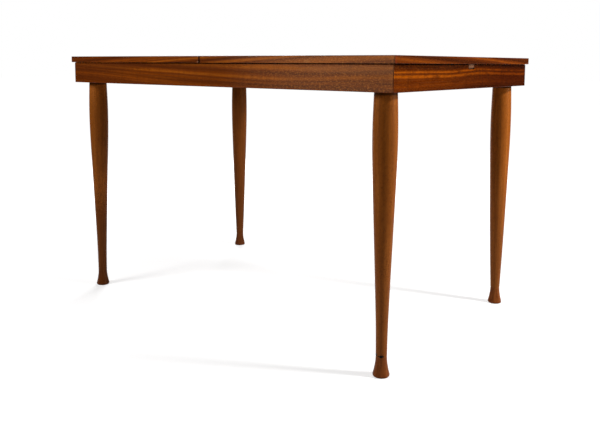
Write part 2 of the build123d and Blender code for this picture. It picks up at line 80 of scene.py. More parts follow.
def put(tree, kind, inputs=None, **options):
    """Adds a shader node, sets its options, then links or sets each named input."""
    node = tree.nodes.new("ShaderNode" + kind)
    for option, value in options.items():
        setattr(node, option, value)
    for key, value in (inputs or {}).items():
        connect(tree, node.inputs[key], value)
    return node


def work_out(tree, operation, first, second=0.0):
    """One sum of two values."""
    return put(tree, "Math", {0: first, 1: second}, operation=operation).outputs[0]


def stretched_noise(tree, place, spots, detail=3.0, roughness=0.55, distortion=0.0):
    """Noise with a given number of spots to the metre along each axis."""
    scaled = put(tree, "Mapping", {"Vector": place, "Scale": spots}, vector_type="POINT")
    noise = put(tree, "TexNoise", {
        "Vector": scaled.outputs["Vector"], "Scale": 1.0, "Detail": detail, "Roughness": roughness,
        "Distortion": distortion,
    })
    return noise.outputs["Fac"]


def ramp(tree, amount, stops):
    """Colours along a scale from 0 to 1, given as (place, colour) pairs."""
    node = put(tree, "ValToRGB", {"Fac": amount})
    band = node.color_ramp
    while len(band.elements) < len(stops):
        band.elements.new(0.5)
    for element, (place, colour) in zip(band.elements, stops):
        element.position = place
        element.color = colour
    return node.outputs["Color"]


def levels(tree, amount, low, high, to_low=0.0, to_high=1.0, shape="SMOOTHSTEP"):
    """Stretches the values between low and high over a new range, and holds those outside at its ends."""
    node = put(tree, "MapRange", {
        "Value": amount, "From Min": low, "From Max": high, "To Min": to_low, "To Max": to_high,
    }, interpolation_type=shape)
    return node.outputs["Result"]


def blend(tree, amount, first, second, how="MIX"):
    """Mixes two colours by an amount."""
    node = put(tree, "Mix", data_type="RGBA", blend_type=how)
    connect(tree, node.inputs[0], amount)
    connect(tree, node.inputs[6], first)
    connect(tree, node.inputs[7], second)
    return node.outputs[2]


SOFT_EDGE = 0.3
RAGGED_SPOTS = (260.0, 260.0, 260.0)
SPOT_FADE = (1.25, 0.75)


def rub(tree, where, tone, lines=(), spots=()):
    """Lays worn or darkened places over a tone.

    A line is (axis, place, half width, colour, strength): it keeps to one place on one axis. A spot is
    (place, radii, colour, strength): it fades with the distance from its middle, measured in its own three
    radii, and noise makes its edge ragged.
    """
    axes = put(tree, "SeparateXYZ", {"Vector": where}).outputs
    for axis, place, half_width, colour, strength in lines:
        away = work_out(tree, "ABSOLUTE", work_out(tree, "SUBTRACT", axes[axis], place))
        outer, inner = half_width * (1.0 + SOFT_EDGE), half_width * (1.0 - SOFT_EDGE)
        tone = blend(tree, levels(tree, away, outer, inner, 0.0, strength), tone, paint(*colour))
    for place, radii, colour, strength in spots:
        offset = put(tree, "VectorMath", {0: where, 1: place}, operation="SUBTRACT").outputs["Vector"]
        scaled = put(tree, "VectorMath", {0: offset, 1: radii}, operation="DIVIDE").outputs["Vector"]
        ragged = stretched_noise(tree, where, RAGGED_SPOTS, detail=1.0)
        away = put(tree, "VectorMath", {0: scaled}, operation="LENGTH").outputs["Value"]
        away = work_out(tree, "ADD", away, levels(tree, ragged, 0.3, 0.7, -SOFT_EDGE, SOFT_EDGE, "LINEAR"))
        tone = blend(tree, levels(tree, away, *SPOT_FADE, 0.0, strength), tone, paint(*colour))
    return tone


def new_finish(name):
    """A material with its tree, its shader and the place of each point in metres."""
    material = bpy.data.materials.new(name)
    material.use_nodes = True
    tree = material.node_tree
    return material, tree, tree.nodes["Principled BSDF"], put(tree, "TexCoord").outputs["Object"]


def join(tree, shader, **sockets):
    """Links or sets the shader's inputs. An underscore in a name stands for a space."""
    for key, value in sockets.items():
        connect(tree, shader.inputs[key.replace("_", " ")], value)


def dress(finish, *names):
    """Gives CAD nodes a finish in place of their own."""
    for name in names:
        nodes[name].data.materials.clear()
        nodes[name].data.materials.append(finish)


# %% [markdown]
# ## The figured veneer
#
# The aprons and the edges of the top show a reddish hardwood with interlocked grain. Long ribbons of gold and
# dark brown run along each board and drift slowly across it. Each board has its own list of ribbons, as
# heights across the grain in millimetres, and the drift carries them up or down along the board. Noise bends
# the ribbons a little, breaks them into streaks, and adds the fine pores and bright flecks of the real wood.
# A greyish painted sheen and painted shade lighten or darken each board from one end to the other.

# %% Veneer
DARK, BROWN, RUST, AMBER = (68, 29, 7), (90, 40, 8), (104, 48, 9), (118, 57, 11)
GOLD, FLAME, FLECK, PORE = (148, 79, 17), (180, 100, 13), (176, 108, 52), (44, 19, 7)
# The grey that the painted sheen adds, and the tint that the painted shade multiplies in
PAINTED_SHEEN_GREY, PAINTED_SHADE_TINT = (74, 57, 44), (170, 152, 165)
RIBBON_SPAN = 120.0 * MM
GLOSS_RANGE = 0.12

# Spots of noise to the metre: along the grain, across it and into the board
SWAY_SPOTS = (2.6, 22.0, 3.0)
CURL_SPOTS = (110.0, 14.0, 20.0)
STREAK_SPOTS = (2.4, 240.0, 60.0)
FLECK_SPOTS = (200.0, 390.0, 390.0)
PORE_SPOTS = (70.0, 900.0, 900.0)
SHINE_SPOTS = (5.0, 320.0, 60.0)
PATCH_DEPTH = 20.0


def figured_veneer(name, along, across, ribbons, drift, level=0.0, repeat=0.0, bend=2.5, fleck=0.3,
                   gloss=0.24, curl=0.16, blotch=(9.0, 60.0, 0.4), fan=None, shade=(0.0, 1.0, 0.0),
                   painted_sheen=(0.0, 1.0, 0.0), stain=(1.0, 1.0, 1.0), specular=0.05, lines=(), spots=()):
    """Hardwood with ribbons: colour follows the height across the grain, moved by drift along it.

    A step of the drift is (start, end, amount): amount is added evenly between two places along the grain.
    The shade, a painted shade, is given in the same way, and darkens the board towards the end place. So is
    the painted sheen, a greyish painted reflection on the varnish, under which the flecks also show more. The
    bend is how far noise pushes the ribbons, in millimetres. From the start of a fan to its end the ribbons
    close up above its middle and open out below.
    With a repeat, the list of ribbons folds back and forth over that height. The blotch is the number of
    brown patches to the metre along and across the grain, and their share. The curl is the share of dark
    ripples across the grain.
    """
    material, tree, shader, where = new_finish(name)
    axes = put(tree, "SeparateXYZ", {"Vector": where}).outputs
    third = ({"X", "Y", "Z"} - {along, across}).pop()
    height = work_out(tree, "SUBTRACT", axes[across], level)
    for start, end, amount in drift:
        height = work_out(tree, "ADD", height, levels(tree, axes[along], start, end, 0.0, amount, "LINEAR"))
    flat = put(tree, "CombineXYZ", {"X": axes[along], "Y": height, "Z": axes[third]}).outputs["Vector"]
    sway = stretched_noise(tree, flat, SWAY_SPOTS, detail=2.0)
    height = work_out(tree, "ADD", height, levels(tree, sway, 0.25, 0.75, -bend * MM, bend * MM, "LINEAR"))
    if fan:
        middle, start, end, amount = fan
        apart = work_out(tree, "ABSOLUTE", work_out(tree, "SUBTRACT", height, middle))
        opened = levels(tree, axes[along], start, end, 0.0, amount, "LINEAR")
        height = work_out(tree, "ADD", height, work_out(tree, "MULTIPLY", apart, opened))
    if repeat:
        height = work_out(tree, "PINGPONG", height, repeat)
    stops = [(place * MM / RIBBON_SPAN, paint(*tone, stain)) for place, tone in ribbons]
    tone = ramp(tree, work_out(tree, "DIVIDE", height, RIBBON_SPAN), stops)
    patches_along, patches_across, patch_share = blotch
    patches = stretched_noise(tree, flat, (patches_along, patches_across, PATCH_DEPTH), detail=2.0)
    tone = blend(tree, levels(tree, patches, 0.45, 0.75, 0.0, patch_share), tone, paint(*BROWN, stain))
    ripple = stretched_noise(tree, flat, CURL_SPOTS, detail=1.5)
    tone = blend(tree, levels(tree, ripple, 0.40, 0.75, 0.0, curl), tone, paint(*DARK, stain))
    streaks = stretched_noise(tree, flat, STREAK_SPOTS, detail=3.0, roughness=0.6)
    tone = blend(tree, levels(tree, streaks, 0.50, 0.72, 0.0, 0.5), tone, paint(*DARK, stain))
    tone = blend(tree, levels(tree, streaks, 0.46, 0.26, 0.0, 0.4), tone, paint(*GOLD, stain))
    flecks = stretched_noise(tree, flat, FLECK_SPOTS, detail=3.0, roughness=0.7)
    # Painted sheen: a greyish painted reflection that grows along the board, where more flecks show too
    start, end, amount = painted_sheen
    painted_sheen_reach = levels(tree, axes[along], start, end)
    share = levels(tree, painted_sheen_reach, 0.0, 1.0, fleck * (1.0 - amount), fleck, "LINEAR")
    bright = work_out(tree, "MULTIPLY", share, levels(tree, flecks, 0.50, 0.62))
    tone = blend(tree, bright, tone, paint(*FLECK, stain))
    dull = work_out(tree, "MULTIPLY", share, levels(tree, flecks, 0.45, 0.30, 0.0, 0.5))
    tone = blend(tree, dull, tone, paint(*DARK, stain))
    pores = stretched_noise(tree, flat, PORE_SPOTS, detail=2.0)
    tone = blend(tree, levels(tree, pores, 0.52, 0.70, 0.0, 0.45), tone, paint(*PORE, stain))
    tone = blend(tree, work_out(tree, "MULTIPLY", painted_sheen_reach, amount), tone, paint(*PAINTED_SHEEN_GREY), "ADD")
    # Painted shade: the tone is darkened towards the end place
    start, end, amount = shade
    tone = blend(tree, levels(tree, axes[along], start, end, 0.0, amount), tone, paint(*PAINTED_SHADE_TINT), "MULTIPLY")
    tone = rub(tree, where, tone, lines, spots)
    hollow = put(tree, "Bump", {
        "Height": levels(tree, pores, 0.5, 0.72), "Strength": 0.10, "Distance": 0.4 * MM}, invert=True)
    shine = stretched_noise(tree, flat, SHINE_SPOTS, detail=2.0)
    join(tree, shader, Base_Color=tone, Roughness=levels(tree, shine, 0.3, 0.7, gloss, gloss + GLOSS_RANGE),
         Normal=hollow.outputs["Normal"], Specular_IOR_Level=specular)
    return material


# %% [markdown]
# ## Aprons
#
# On the front apron the ribbons climb from the left end to the middle and close up towards the near corner,
# where a greyish painted sheen lies on them, and painted shade darkens the left end. Its upper edge is darker
# in places, from hands. The end apron is redder, with painted shade towards its back end, and its two bright
# ribbons lie close together. The lower arris of both is a darker red, partly its own colour and partly
# painted shade where the edge faces down.

# %% Aprons
apron_low, apron_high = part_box("apron_front")
half_length, half_width = apron_high[0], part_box("apron_right")[1][1]
ARRIS_RED, JOINT_BROWN, HANDLED_BROWN = (84, 28, 6), (58, 26, 14), (80, 35, 9)
JOINT_SETBACK, JOINT_HALF_WIDTH = 1.2 * MM, 1.3 * MM
ARRIS_SETBACK, ARRIS_HALF_WIDTH = 0.5 * MM, 0.9 * MM
# The lower arris: a darker red, partly the edge's own colour and partly painted shade where it faces down
apron_arris_red_and_shade = ("Z", apron_low[2] + ARRIS_SETBACK, ARRIS_HALF_WIDTH, ARRIS_RED, 0.6)
corner_joint = ("X", half_length - JOINT_SETBACK, JOINT_HALF_WIDTH, JOINT_BROWN, 0.75)
apron_marks = [
    ((-0.50, -half_width, apron_high[2] - 3.0 * MM), (0.30, 0.05, 0.022), HANDLED_BROWN, 0.6),
    ((-0.02, -half_width, apron_high[2] - 1.0 * MM), (0.17, 0.05, 0.011), (82, 37, 10), 0.5),
    ((0.50, -half_width, apron_high[2] - 11.5 * MM), (0.17, 0.05, 0.010), (156, 104, 68), 0.25),
]
# Painted sheen towards the near corner and painted shade towards the left end
long_apron_veneer = figured_veneer(
    "long_apron_veneer", "X", "Z", level=apron_low[2],
    drift=[(-half_length, -0.05, 26.0 * MM), (-0.05, 0.15, 6.0 * MM), (0.15, 0.27, 2.0 * MM),
           (0.33, half_length, -10.5 * MM)],
    fan=(61.0 * MM, 0.30, half_length, 0.55),
    shade=(-0.20, -half_length, 0.25), painted_sheen=(0.03, 0.42, 0.9), stain=(1.16, 1.06, 0.68), fleck=0.55,
    curl=0.22, lines=[apron_arris_red_and_shade, corner_joint], spots=apron_marks,
    ribbons=[(0, RUST), (8, RUST), (14, BROWN), (22, BROWN), (28, RUST), (31.5, AMBER), (34, AMBER),
             (37, RUST), (41, BROWN), (45, BROWN), (48.5, AMBER), (51, RUST), (54, BROWN), (57, AMBER),
             (59, GOLD), (61, GOLD), (63.5, AMBER), (67, RUST), (71, BROWN), (75, BROWN), (79, AMBER),
             (83, GOLD), (88, GOLD), (93, AMBER), (100, AMBER)],
)
# Painted shade towards the back end; at the top the ribbons end in the pore colour, painted shadow under the
# lipping
end_apron_veneer = figured_veneer(
    "end_apron_veneer", "Y", "Z", level=apron_low[2], bend=1.2, fleck=0.25, curl=0.30,
    blotch=(36.0, 80.0, 0.75), drift=[(-0.10, 0.05, -5.5 * MM), (0.08, 0.33, 4.0 * MM)],
    shade=(-0.38, 0.30, 1.0), stain=(0.72, 0.54, 0.18), specular=0.03, lines=[apron_arris_red_and_shade],
    ribbons=[(0, DARK), (6, RUST), (12, AMBER), (20, RUST), (28, RUST), (30, AMBER), (33, FLAME), (36, FLAME),
             (38.3, AMBER), (40, BROWN), (41.7, AMBER), (43.5, FLAME), (44.7, FLAME), (48, RUST), (52, DARK),
             (62, PORE)],
)
print("aprons", half_length, half_width, "from", apron_low[2], "to", apron_high[2])

# %% [markdown]
# ## Edges and panels
#
# The top's solid lippings are cut from the same wood, so they get the same finish with other ribbons, and the
# long ones a greyish painted sheen towards the right end. The corners beside the gap where the two halves
# meet carry painted shade, and the edge has a pale nick and a small bruise. On the panels the ribbons run the
# length of the table, and the list is folded back and forth across the width.

# %% Lippings and panels
top_low, top_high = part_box("top_panel_left")
LIPPING_WIDTH, MEETING_GAP = 6.0 * MM, 3.0 * MM
# The painted shade beside the gap where the two halves meet
MEETING_GAP_SHADE = (40, 19, 9)
half_top_length, half_top_width = LIPPING_WIDTH - top_low[0], LIPPING_WIDTH - top_low[1]
left_edge = top_high[0] + LIPPING_WIDTH
right_edge = left_edge + MEETING_GAP
top_arris = ("Z", top_high[2] - ARRIS_SETBACK, ARRIS_HALF_WIDTH, ARRIS_RED, 0.7)
edge_lines = [
    ("X", half_top_length - JOINT_SETBACK, JOINT_HALF_WIDTH, (66, 30, 18), 0.6),
    # Painted shade on the corners beside the gap where the two halves meet
    ("X", left_edge - 0.8 * MM, 1.3 * MM, MEETING_GAP_SHADE, 0.75),
    ("X", right_edge + 0.7 * MM, 1.0 * MM, MEETING_GAP_SHADE, 0.75),
]
nick = ((0.358, -half_top_width, top_low[2] + 4.5 * MM), (0.009, 0.01, 0.0035), (176, 112, 62), 0.75)
bruise = ((left_edge - 4.0 * MM, -half_top_width, top_low[2] + 2.2 * MM), (0.0028, 0.01, 0.0022),
          (138, 100, 78), 0.6)
# Painted sheen towards the right end
long_lipping_wood = figured_veneer(
    "long_lipping_wood", "X", "Z", level=top_low[2] - 75.0 * MM, bend=1.5, fleck=0.6,
    drift=[(-half_top_length, half_top_length, -75.0 * MM)],
    painted_sheen=(0.0, 0.40, 1.0), stain=(1.2, 1.1, 0.8), lines=[top_arris, *edge_lines], spots=[nick, bruise],
    ribbons=[(0, RUST), (7, RUST), (13, GOLD), (20, GOLD), (27, AMBER), (29.2, BROWN), (31.5, RUST),
             (34, GOLD), (37, GOLD), (40, RUST), (43.5, DARK), (47, RUST), (51, GOLD), (55, RUST),
             (58, AMBER), (65, AMBER), (69, RUST), (74, DARK), (80, BROWN), (93, DARK)],
)
end_lipping_wood = figured_veneer(
    "end_lipping_wood", "Y", "Z", level=top_low[2], bend=1.5, fleck=0.2,
    drift=[(-half_top_width, half_top_width, 38.0 * MM)], stain=(0.68, 0.54, 0.45), specular=0.03,
    lines=[top_arris, ("Y", -half_top_width + 4.0 * MM, 4.0 * MM, (120, 44, 22), 0.35)],
    ribbons=[(0, RUST), (6, AMBER), (11, GOLD), (15, RUST), (20, DARK), (25, DARK), (29, RUST), (32, AMBER),
             (35, GOLD), (39, RUST), (43, DARK), (52, BROWN)],
)
panel_veneer = figured_veneer(
    "panel_veneer", "X", "Y", level=-20.0 * MM, repeat=106.0 * MM, bend=11.0, gloss=0.48,
    drift=[(-half_top_length, half_top_length, 30.0 * MM)], stain=(1.2, 1.15, 1.0),
    ribbons=[(0, BROWN), (12, RUST), (24, BROWN), (35, AMBER), (41, BROWN), (47, DARK), (53, BROWN),
             (62, GOLD), (67, RUST), (73, DARK), (78, BROWN), (84, DARK), (90, RUST), (98, AMBER),
             (106, BROWN)],
)
dress(long_apron_veneer, "apron_front", "apron_back")
dress(end_apron_veneer, "apron_left", "apron_right")
dress(panel_veneer, "top_panel_left", "top_panel_right", "leaf_half_lower", "leaf_half_upper")
lippings = [n for n in nodes if "lipping" in n]
dress(long_lipping_wood, *[n for n in lippings if n.endswith(("_front", "_back", "_lower", "_upper"))])
dress(end_lipping_wood, *[n for n in lippings if n.endswith(("_end", "_meeting"))])
print("figured", long_lipping_wood.name, end_lipping_wood.name, panel_veneer.name)

# %% [markdown]
# ## Plain woods
#
# The legs are turned from a plainer wood with fine flecks, stained brown and darker towards the floor. The
# feet are a redder wood, and the near one is chipped at its joint. Inside, the runners, bars, blocks and
# bearers are bare planed beech, pale and pinkish with short dark rays. The guide bars, whose ends show, have
# aged to a duller brown.


# %% Plain woods
DOWNWARD_BROWN = (96, 54, 26)
DOWNWARD_REACH = (0.50, 0.10)

# Spots of noise to the metre: twice across the grain, and along it
SOFT_STREAK_SPOTS = (130.0, 130.0, 5.0)
CLOUD_SPOTS = (22.0, 22.0, 14.0)
RAY_SPOTS = (280.0, 280.0, 190.0)
SATIN_SPOTS = (40.0, 40.0, 6.0)


def plain_wood(name, dark, body, light, ray, turn=(0.0, 0.0, 0.0), gloss=0.34, ray_share=0.5, specular=0.05,
               darkening_down=0.0, lines=(), spots=()):
    """Plain wood with its grain along Z before the turn: soft streaks, clouds of stain and short rays.

    A share of darkening turns the wood duller and darker towards the floor.
    """
    material, tree, shader, where = new_finish(name)
    along = put(tree, "Mapping", {"Vector": where, "Rotation": turn}, vector_type="POINT").outputs["Vector"]
    streaks = stretched_noise(tree, along, SOFT_STREAK_SPOTS, detail=3.0, roughness=0.6, distortion=0.2)
    tone = ramp(tree, streaks, [(0.25, paint(*dark)), (0.5, paint(*body)), (0.75, paint(*light))])
    clouds = stretched_noise(tree, along, CLOUD_SPOTS, detail=3.0)
    tone = blend(tree, levels(tree, clouds, 0.48, 0.75, 0.0, 0.45), tone, paint(*dark))
    rays = stretched_noise(tree, along, RAY_SPOTS, detail=3.0, roughness=0.65)
    tone = blend(tree, levels(tree, rays, 0.53, 0.70, 0.0, ray_share), tone, paint(*ray))
    tone = blend(tree, levels(tree, rays, 0.45, 0.30, 0.0, ray_share * 0.6), tone, paint(*light))
    if darkening_down:
        height = put(tree, "SeparateXYZ", {"Vector": where}).outputs["Z"]
        tone = blend(tree, levels(tree, height, *DOWNWARD_REACH, 0.0, darkening_down), tone, paint(*DOWNWARD_BROWN))
    tone = rub(tree, where, tone, lines, spots)
    shine = stretched_noise(tree, along, SATIN_SPOTS, detail=2.0)
    hollow = put(tree, "Bump", {
        "Height": levels(tree, rays, 0.5, 0.72), "Strength": 0.08, "Distance": 0.3 * MM}, invert=True)
    join(tree, shader, Base_Color=tone, Roughness=levels(tree, shine, 0.3, 0.7, gloss, gloss + GLOSS_RANGE),
         Normal=hollow.outputs["Normal"], Specular_IOR_Level=specular)
    return material


def axis_of(node):
    """The middle of a node, seen from above."""
    low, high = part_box(node)
    return (low[0] + high[0]) / 2, (low[1] + high[1]) / 2


# %% [markdown]
# Each wood is one call with four tones: dark, body, light and the rays. The chips are places about the joint
# of the near leg and its foot, in millimetres, and the darker places lie on the axes of three legs. A band of
# painted shadow darkens the top of each leg, just under the apron.

# %% Legs, feet and hidden woods
ON_X = (0.0, math.radians(90.0), 0.0)
ON_Y = (math.radians(90.0), 0.0, 0.0)
BEECH = ((140, 98, 66), (160, 116, 82), (178, 136, 100), (118, 78, 50))
AGED_BEECH = ((90, 60, 42), (108, 73, 51), (122, 85, 61), (76, 51, 35))
BARE_GLOSS = 0.55
leg_bottom, leg_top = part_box("leg_front_right")[0][2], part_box("leg_front_right")[1][2]
near_joint = np.array([*axis_of("leg_front_right"), leg_bottom])
CHIPS = (
    ((7.5, -11.2, 3.2), (5.2, 5.2, 3.4), (10, 6, 5), 1.0),
    ((2.0, -13.6, 3.4), (3.2, 3.2, 1.6), (14, 8, 5), 0.9),
    ((-8.6, -10.8, 5.0), (5.0, 5.0, 4.4), (10, 6, 5), 1.0),
)
DARKER_PLACES = (
    ("leg_front_left", 0.08, (0.15, 0.15, 0.22), (70, 33, 9), 0.55),
    ("leg_back_left", 0.30, (0.15, 0.15, 0.50), (70, 33, 9), 0.6),
    ("leg_front_left", 0.50, (0.10, 0.10, 0.14), (86, 44, 12), 0.4),
    ("leg_front_right", 0.48, (0.10, 0.10, 0.22), (84, 42, 10), 0.3),
)
leg_marks = [((*axis_of(leg), height), radii, tone, share) for leg, height, radii, tone, share in DARKER_PLACES]
for offset, radii, tone, share in CHIPS:
    place = near_joint + np.array(offset) * MM
    leg_marks.append((place.tolist(), (np.array(radii) * MM).tolist(), tone, share))
# Painted shadow: a dark band round the top of each leg, just under the apron
painted_shadow_under_apron = ("Z", leg_top, 7.0 * MM, (24, 11, 4), 0.75)
leg_wood = plain_wood(
    "leg_wood", (130, 69, 19), (146, 79, 23), (168, 97, 36), (92, 46, 11), darkening_down=0.55, ray_share=0.6,
    lines=[painted_shadow_under_apron], spots=leg_marks,
)
foot_wood = plain_wood(
    "foot_wood", (92, 44, 16), (118, 62, 25), (134, 76, 36), (74, 34, 12), spots=leg_marks,
)
guide_low, guide_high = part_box("guide_bar_right")
guide_edges = [
    ("Z", guide_low[2], 4.0 * MM, (70, 50, 36), 0.6),
    ("Y", guide_high[1] - 0.5 * MM, 3.4 * MM, (66, 32, 14), 0.9),
]
guide_wood = plain_wood("guide_wood", *AGED_BEECH, turn=ON_X, gloss=BARE_GLOSS, lines=guide_edges)
beech_along_x = plain_wood("beech_along_x", *BEECH, turn=ON_X, gloss=BARE_GLOSS)
beech_along_y = plain_wood("beech_along_y", *BEECH, turn=ON_Y, gloss=BARE_GLOSS)
dress(beech_along_x, *[n for n in nodes if n.startswith(("slide_bar", "corner_block_f", "corner_block_b"))])
dress(beech_along_x, "runner_front", "runner_back")
dress(guide_wood, "guide_bar_left", "guide_bar_right")
dress(beech_along_y, "leaf_bearer_left", "leaf_bearer_right", "leaf_stops", "bearer_dowels",
      "locating_dowels", "leaf_dowels")
dress(leg_wood, "foot_dowels")
print("plain woods", leg_wood.name, foot_wood.name, beech_along_x.name, beech_along_y.name)

# %% [markdown]
# ## Metal, fibre and rubber
#
# The hinges are brass, and the screws, bolts, washers and nuts are zinc-plated steel. The glide strips are
# dark hard fibre, lightened by painted light towards two corners, where light reaches into the gap under the
# top, and the spacers rubber. Each gets a little noise in its colour and its gloss, because no handled metal
# is one even grey.


# %% Metal and other small parts
def mottled(name, dark, light, metallic, smooth, rough, grains, spots=()):
    """A finish with a fine even mottle in colour and gloss, so many grains to the metre, and spots laid over
    it.
    """
    material, tree, shader, where = new_finish(name)
    mottle = stretched_noise(tree, where, (grains, grains, grains), detail=3.0)
    tone = rub(tree, where, ramp(tree, mottle, [(0.3, paint(*dark)), (0.7, paint(*light))]), spots=spots)
    join(tree, shader, Base_Color=tone, Roughness=levels(tree, mottle, 0.3, 0.7, smooth, rough),
         Metallic=metallic, Specular_IOR_Level=0.5 * metallic)
    return material


brass = mottled("hinge_brass", (168, 128, 62), (206, 170, 96), 1.0, 0.28, 0.42, 300.0)
zinc = mottled("zinc_steel", (146, 146, 148), (188, 188, 190), 1.0, 0.32, 0.48, 500.0)
# Painted light: the strips are lightened towards two corners, where light reaches into the gap under the top
PAINTED_GAP_LIGHT = [((-half_length, -half_width, top_low[2]), (0.26, 0.05, 0.01), (214, 120, 44), 1.0),
                ((half_length, half_width, top_low[2]), (0.05, 0.34, 0.01), (170, 84, 30), 1.0)]
fibre = mottled("glide_fibre", (16, 10, 7), (30, 20, 14), 0.0, 0.7, 0.85, 700.0, PAINTED_GAP_LIGHT)
rubber = mottled("spacer_rubber", (24, 24, 24), (40, 40, 40), 0.0, 0.7, 0.85, 700.0)
dress(brass, "leaf_hinge_plates", "leaf_hinge_pins", "leaf_hinge_screws")
dress(zinc, "leg_bolts", "leg_washers", "leg_nuts", "corner_block_screws", "runner_screws",
      "slide_screws_left", "slide_screws_right", "guide_screws_left", "guide_screws_right")
dress(rubber, "leaf_spacers")
print("small parts", brass.name, zinc.name, fibre.name, rubber.name)

# %% [markdown]
# ## Glide strips
#
# The top slides on fibre strips on the aprons. A worn strip has a round back that just touches the top, so no
# light shows between them. Its section is a low arch, carried straight from one end to the other. The long
# strips run out to the corners, and those on the ends stop at the notch of the guide bar.


# %% Glide strips
SHARP_ANGLE = math.radians(40.0)


def finish_piece(name, points, faces, finish, node):
    """A smooth mesh in place of a CAD node, on the frame, with its sharp edges kept."""
    mesh = bpy.data.meshes.new(name)
    mesh.from_pydata(points.reshape(-1, 3).tolist(), [], faces)
    mesh.update()
    mesh.shade_smooth()
    mesh.set_sharp_from_angle(angle=SHARP_ANGLE)
    mesh.materials.append(finish)
    piece = bpy.data.objects.new(name, mesh)
    bpy.context.collection.objects.link(piece)
    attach(piece, "frame")
    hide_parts(node)


GLIDE_WIDTH = 14.0 * MM
LET_OUT = 2.2 * MM
ARCH_POINTS = 24
ARCH_POWER = 0.25
TOUCH = 0.02 * MM
NOTCH_PLAY = 0.5 * MM
notch = (guide_low[1] - NOTCH_PLAY, guide_high[1] + NOTCH_PLAY)


def glide_strips(node, along, gap=()):
    """Strips with the section y = cos a, z = the fourth root of sin a, on both sides of the table.

    The long ones run out a little past the places of the CAD strips, nearly to the corners of the aprons.
    A gap is two places along the strips, between which there is none.
    """
    low, high = [np.array(corner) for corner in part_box(node)]
    if along == 0:
        let_out = np.array([LET_OUT, LET_OUT, 0.0])
        low, high = low - let_out, high + let_out
    across = 1 - along
    ends = np.array([low[along], *gap, high[along]]).reshape(-1, 2)
    turn = np.linspace(0.0, np.pi, ARCH_POINTS)
    arch = np.stack([np.cos(turn) * GLIDE_WIDTH / 2, np.sin(turn).clip(0.0) ** ARCH_POWER], axis=1)
    points = np.empty((len(ends), 2, 2, ARCH_POINTS, 3))
    middle = np.array([low[across] + GLIDE_WIDTH / 2, high[across] - GLIDE_WIDTH / 2])
    points[..., along] = ends[:, None, :, None]
    points[..., across] = middle[:, None, None] + arch[:, 0]
    points[..., 2] = low[2] + (top_low[2] - TOUCH - low[2]) * arch[:, 1]
    one = np.arange(ARCH_POINTS)
    after = (one + 1) % ARCH_POINTS
    sides = np.stack([one, one + ARCH_POINTS, after + ARCH_POINTS, after], axis=1)
    caps = np.stack([one, one[::-1] + ARCH_POINTS])
    if along == 1:
        sides, caps = sides[:, ::-1], caps[:, ::-1]
    faces = []
    for first in range(0, points[..., 0].size, 2 * ARCH_POINTS):
        faces += (first + sides).tolist() + (first + caps).tolist()
    finish_piece(f"worn_{node}", points, faces, fibre, node)


glide_strips("long_glide_strips", 0)
glide_strips("end_glide_strips", 1, notch)
print("glide strips up to", top_low[2] - TOUCH)

# %% [markdown]
# ## Turned legs and feet
#
# A turned piece is an outline carried round an axis. The leg's outline is a smooth curve through a few radii,
# found with a natural cubic spline: its second slopes solve one small set of equations. The grid of points
# is radius times cosine and sine of the angle round the axis, all computed as whole arrays. The back legs are
# a little fuller below the knee than the front ones, and a fine groove marks the joint with the foot.


# %% Turned surfaces
def smooth_curve(at, value, where):
    """A natural cubic spline: cubic pieces whose slopes and second slopes agree at the given points."""
    at, value = np.asarray(at, float), np.asarray(value, float)
    step = np.diff(at)
    rise = np.diff(value) / step
    inner = np.arange(1, len(at) - 1)
    system = np.eye(len(at))
    system[inner, inner - 1] = step[:-1]
    system[inner, inner] = 2 * (step[:-1] + step[1:])
    system[inner, inner + 1] = step[1:]
    right = np.concatenate([[0.0], 6 * np.diff(rise), [0.0]])
    bend = np.linalg.solve(system, right)
    piece = np.clip(np.searchsorted(at, where) - 1, 0, len(at) - 2)
    width = step[piece]
    a, b = (at[piece + 1] - where) / width, (where - at[piece]) / width
    curved = ((a ** 3 - a) * bend[piece] + (b ** 3 - b) * bend[piece + 1]) * width ** 2 / 6
    return a * value[piece] + b * value[piece + 1] + curved


def turned_piece(name, radius, height, centre, finish, node, sides=128):
    """A grid of height by angle a at radius r: x = r cos a and y = r sin a, with a flat disc at each end."""
    angle = np.linspace(0.0, 2 * np.pi, sides, endpoint=False)
    rings = len(height)
    points = np.empty((rings, sides, 3))
    points[..., 0] = centre[0] + radius[:, None] * np.cos(angle)
    points[..., 1] = centre[1] + radius[:, None] * np.sin(angle)
    points[..., 2] = height[:, None]
    ring, side = np.meshgrid(np.arange(rings - 1) * sides, np.arange(sides), indexing="ij")
    after = (side + 1) % sides
    quads = np.stack([ring + side, ring + after, ring + sides + after, ring + sides + side], axis=-1)
    lower, upper = np.arange(sides)[::-1], np.arange(sides) + (rings - 1) * sides
    faces = quads.reshape(-1, 4).tolist() + [lower.tolist(), upper.tolist()]
    finish_piece(name, points, faces, finish, node)


# %% Legs
CORNERS = ("front_left", "front_right", "back_left", "back_right")
ANKLE_UP, CALF_UP, KNEE_DOWN, SWELL_DOWN = 42.0 * MM, 162.0 * MM, 248.0 * MM, 88.0 * MM
LEG_RADII = {  # at the foot joint, ankle, calf, knee, swell and top
    "front": np.array([13.5, 13.9, 17.5, 25.6, 29.4, 27.0]) * MM,
    "back": np.array([13.5, 15.3, 20.1, 26.9, 29.4, 27.0]) * MM,
}
LEG_RINGS, CROWDING = 180, 1.5
JOINT_GROOVE = 0.8 * MM
leg_places = np.array([leg_bottom, leg_bottom + ANKLE_UP, leg_bottom + CALF_UP, leg_top - KNEE_DOWN,
                       leg_top - SWELL_DOWN, leg_top])
leg_heights = leg_bottom + (leg_top - leg_bottom) * np.linspace(0.0, 1.0, LEG_RINGS) ** CROWDING
groove = JOINT_GROOVE * np.exp(-(leg_heights - leg_bottom) / JOINT_GROOVE)
